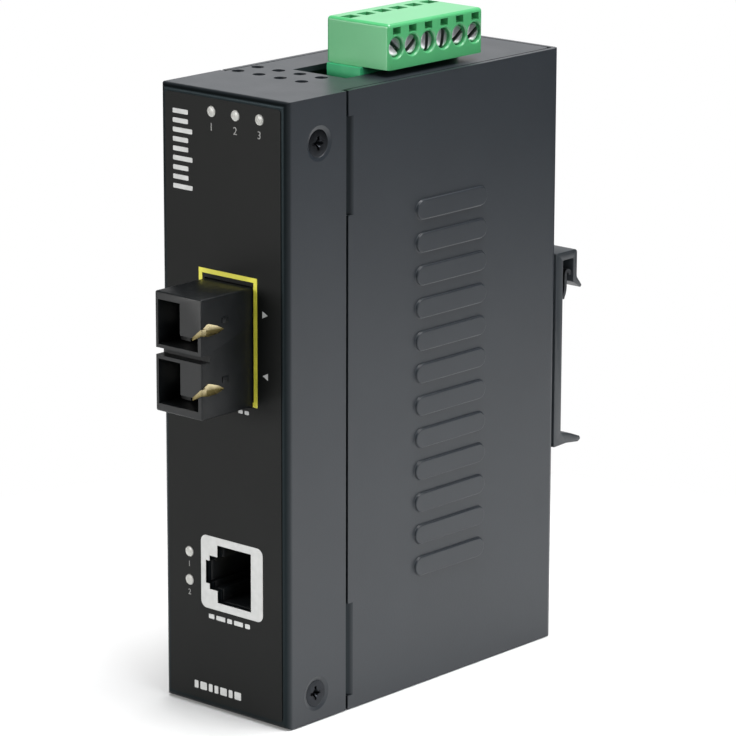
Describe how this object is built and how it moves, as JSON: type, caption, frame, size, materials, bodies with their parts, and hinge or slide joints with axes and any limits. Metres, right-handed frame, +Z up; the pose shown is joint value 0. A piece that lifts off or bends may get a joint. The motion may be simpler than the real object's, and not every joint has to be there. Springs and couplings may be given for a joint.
{
  "type": "fibre media converter",
  "caption": "Narrow folded-steel case with a duplex fibre port and a network jack on its front, a green pull-off terminal plug on top and a rail clip behind.",
  "frame": {"origin": "centre of the case's bottom face", "axes": "+Z up, -Y out of the front panel with the ports, +X to the right seen from the front"},
  "size_m": [0.0366, 0.1131, 0.1463],
  "materials": {
    "case_paint": "fine textured satin black powder coat over steel sheet",
    "clip_paint": "dark grey satin coat over aluminium",
    "label_film": "smooth black label film",
    "yellow_print": "yellow print",
    "white_print": "white print",
    "black_screw": "black zinc steel",
    "zinc_steel": "bright zinc plated steel",
    "spring_steel": "spring steel",
    "black_moulding": "black moulded plastic, fine satin",
    "ceramic_white": "polished zirconia",
    "gilt_spring": "gold plated spring metal",
    "optic_metal": "turned steel",
    "tinned_copper": "tin plated copper alloy",
    "lamp_lens": "milky lamp lens",
    "board_laminate": "green solder mask",
    "terminal_green": "green polyamide, satin",
    "chip_black": "black epoxy",
    "capacitor_sleeve": "dark printed sleeve",
    "crystal_can": "bright can",
    "clear_film": "polyester film"
  },
  "bodies": {
    "case": {"alarm_relay": "chip_black", "alignment_sleeves": "ceramic_white", "board_link": "black_moulding", "board_screws": "zinc_steel", "capacitors": "capacitor_sleeve", "case_screws": "black_screw", "chip_parts": "chip_black", "clip_screws": "black_screw", "crystal": "crystal_can", "diodes": "chip_black", "fibre_housing": "black_moulding", "front_chassis": "case_paint", "front_label": "label_film", "fuse": "chip_black", "header_pins": "tinned_copper", "insulation_film": "clear_film", "jack_border_print": "white_print", "jack_contacts": "gilt_spring", "jack_housing": "black_moulding", "laser_can": "optic_metal", "latch_inserts": "black_moulding", "legend_marks": "white_print", "main_board": "board_laminate", "media_chip": "chip_black", "memory_chip": "chip_black", "port_clips": "gilt_spring", "port_lamp_holders": "black_moulding", "port_lamps": "lamp_lens", "port_outline_print": "yellow_print", "power_inductors": "chip_black", "pressed_nuts": "zinc_steel", "rail_clip": "clip_paint", "rear_cover": "case_paint", "receiver_can": "optic_metal", "regulator": "chip_black", "side_standoffs": "zinc_steel", "signal_transformer": "chip_black", "status_lamp_holder": "black_moulding", "status_lamps": "lamp_lens", "terminal_header": "terminal_green", "top_board": "board_laminate", "top_standoffs": "zinc_steel", "transceiver_board": "board_laminate", "transceiver_cover": "black_moulding", "transceiver_pins": "gilt_spring"},
    "terminal_plug": {"plug_body": "terminal_green", "plug_contacts": "tinned_copper"},
    "rail_spring_body": {"rail_spring": "spring_steel"},
    "clamp_screw_body_1": {"clamp_screw_1": "zinc_steel"},
    "clamp_cage_body_1": {"clamp_cage_1": "zinc_steel"},
    "clamp_screw_body_2": {"clamp_screw_2": "zinc_steel"},
    "clamp_cage_body_2": {"clamp_cage_2": "zinc_steel"},
    "clamp_screw_body_3": {"clamp_screw_3": "zinc_steel"},
    "clamp_cage_body_3": {"clamp_cage_3": "zinc_steel"},
    "clamp_screw_body_4": {"clamp_screw_4": "zinc_steel"},
    "clamp_cage_body_4": {"clamp_cage_4": "zinc_steel"},
    "clamp_screw_body_5": {"clamp_screw_5": "zinc_steel"},
    "clamp_cage_body_5": {"clamp_cage_5": "zinc_steel"},
    "clamp_screw_body_6": {"clamp_screw_6": "zinc_steel"},
    "clamp_cage_body_6": {"clamp_cage_6": "zinc_steel"}
  },
  "joints": [
    {"name": "plug_pull", "type": "slide", "parent": "case", "child": "terminal_plug", "axis": [0, 0, 1], "range_m": [0, 0.014]},
    {"name": "rail_spring_push", "type": "slide", "parent": "case", "child": "rail_spring_body", "axis": [0, 0, 1], "range_m": [0, 0.002], "stiffness_N_per_m": 2500, "springref_m": -0.001},
    {"name": "clamp_screw_turn_1", "type": "hinge", "parent": "terminal_plug", "child": "clamp_screw_body_1", "pos_m": [0.0132, -0.0063, 0.1412], "axis": [-1, 0, 0], "range_deg": [0, 1440]},
    {"name": "clamp_cage_travel_1", "type": "slide", "parent": "terminal_plug", "child": "clamp_cage_body_1", "axis": [1, 0, 0], "range_m": [0, 0.002]},
    {"name": "clamp_screw_turn_2", "type": "hinge", "parent": "terminal_plug", "child": "clamp_screw_body_2", "pos_m": [0.0132, -0.00122, 0.1412], "axis": [-1, 0, 0], "range_deg": [0, 1440]},
    {"name": "clamp_cage_travel_2", "type": "slide", "parent": "terminal_plug", "child": "clamp_cage_body_2", "axis": [1, 0, 0], "range_m": [0, 0.002]},
    {"name": "clamp_screw_turn_3", "type": "hinge", "parent": "terminal_plug", "child": "clamp_screw_body_3", "pos_m": [0.0132, 0.00386, 0.1412], "axis": [-1, 0, 0], "range_deg": [0, 1440]},
    {"name": "clamp_cage_travel_3", "type": "slide", "parent": "terminal_plug", "child": "clamp_cage_body_3", "axis": [1, 0, 0], "range_m": [0, 0.002]},
    {"name": "clamp_screw_turn_4", "type": "hinge", "parent": "terminal_plug", "child": "clamp_screw_body_4", "pos_m": [0.0132, 0.00894, 0.1412], "axis": [-1, 0, 0], "range_deg": [0, 1440]},
    {"name": "clamp_cage_travel_4", "type": "slide", "parent": "terminal_plug", "child": "clamp_cage_body_4", "axis": [1, 0, 0], "range_m": [0, 0.002]},
    {"name": "clamp_screw_turn_5", "type": "hinge", "parent": "terminal_plug", "child": "clamp_screw_body_5", "pos_m": [0.0132, 0.01402, 0.1412], "axis": [-1, 0, 0], "range_deg": [0, 1440]},
    {"name": "clamp_cage_travel_5", "type": "slide", "parent": "terminal_plug", "child": "clamp_cage_body_5", "axis": [1, 0, 0], "range_m": [0, 0.002]},
    {"name": "clamp_screw_turn_6", "type": "hinge", "parent": "terminal_plug", "child": "clamp_screw_body_6", "pos_m": [0.0132, 0.0191, 0.1412], "axis": [-1, 0, 0], "range_deg": [0, 1440]},
    {"name": "clamp_cage_travel_6", "type": "slide", "parent": "terminal_plug", "child": "clamp_cage_body_6", "axis": [1, 0, 0], "range_m": [0, 0.002]}
  ],
  "couplings": [
    {"joint": "clamp_screw_turn_1", "follows": "clamp_cage_travel_1", "rad_per_m": 12566},
    {"joint": "clamp_screw_turn_2", "follows": "clamp_cage_travel_2", "rad_per_m": 12566},
    {"joint": "clamp_screw_turn_3", "follows": "clamp_cage_travel_3", "rad_per_m": 12566},
    {"joint": "clamp_screw_turn_4", "follows": "clamp_cage_travel_4", "rad_per_m": 12566},
    {"joint": "clamp_screw_turn_5", "follows": "clamp_cage_travel_5", "rad_per_m": 12566},
    {"joint": "clamp_screw_turn_6", "follows": "clamp_cage_travel_6", "rad_per_m": 12566}
  ]
}
